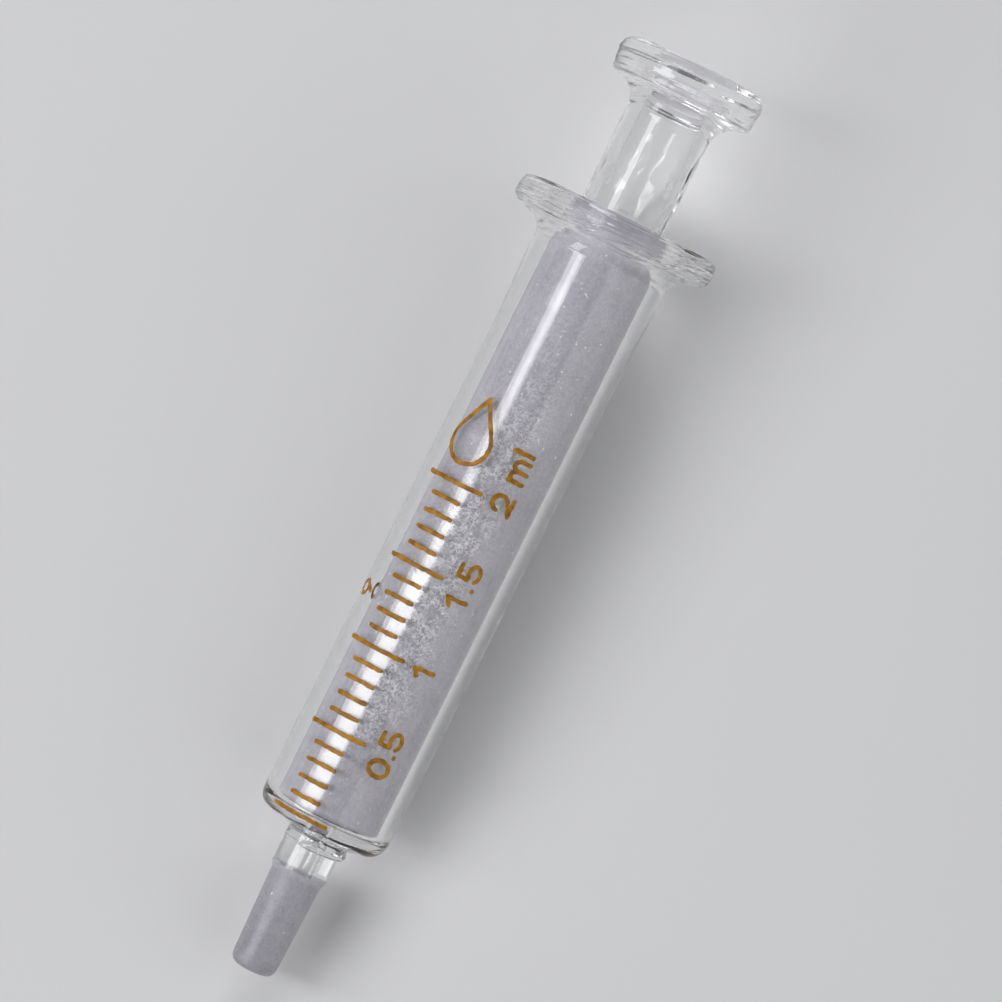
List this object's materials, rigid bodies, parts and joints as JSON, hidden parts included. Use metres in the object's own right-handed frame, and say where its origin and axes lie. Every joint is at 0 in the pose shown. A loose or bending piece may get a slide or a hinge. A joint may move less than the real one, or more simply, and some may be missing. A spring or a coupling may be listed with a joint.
{
  "type": "glass oral syringe",
  "caption": "All-glass Luer-slip syringe: clear graduated barrel with a rolled finger flange and ground nozzle cone, and a hollow ground plunger with a thumb button.",
  "frame": {"origin": "centre of the nozzle's tip, on the axis of the syringe", "axes": "+X along the axis, from the nozzle's tip to the thumb button; +Z out of the front of the barrel, where the scale is printed"},
  "size_m": [0.0836, 0.0182, 0.0182],
  "materials": {
    "clear_glass": "polished",
    "ground_glass": "matte",
    "amber_enamel": "gloss"
  },
  "bodies": {
    "barrel": {"barrel_tube": "clear_glass", "barrel_shoulder": "clear_glass", "finger_flange": "clear_glass", "nozzle_stem": "clear_glass", "luer_cone": "ground_glass", "long_scale_lines": "amber_enamel", "short_scale_lines": "amber_enamel", "numeral_0_5": "amber_enamel", "numeral_1": "amber_enamel", "numeral_1_5": "amber_enamel", "numeral_2": "amber_enamel", "unit_ml": "amber_enamel", "drop_emblem": "amber_enamel", "barrel_pair_number": "amber_enamel"},
    "plunger": {"plunger_end": "ground_glass", "plunger_ground_tube": "ground_glass", "plunger_neck": "clear_glass", "thumb_button": "clear_glass"}
  },
  "joints": [
    {"name": "plunger_slide", "type": "slide", "parent": "barrel", "child": "plunger", "axis": [1, 0, 0], "range_m": [0, 0.0302]}
  ]
}
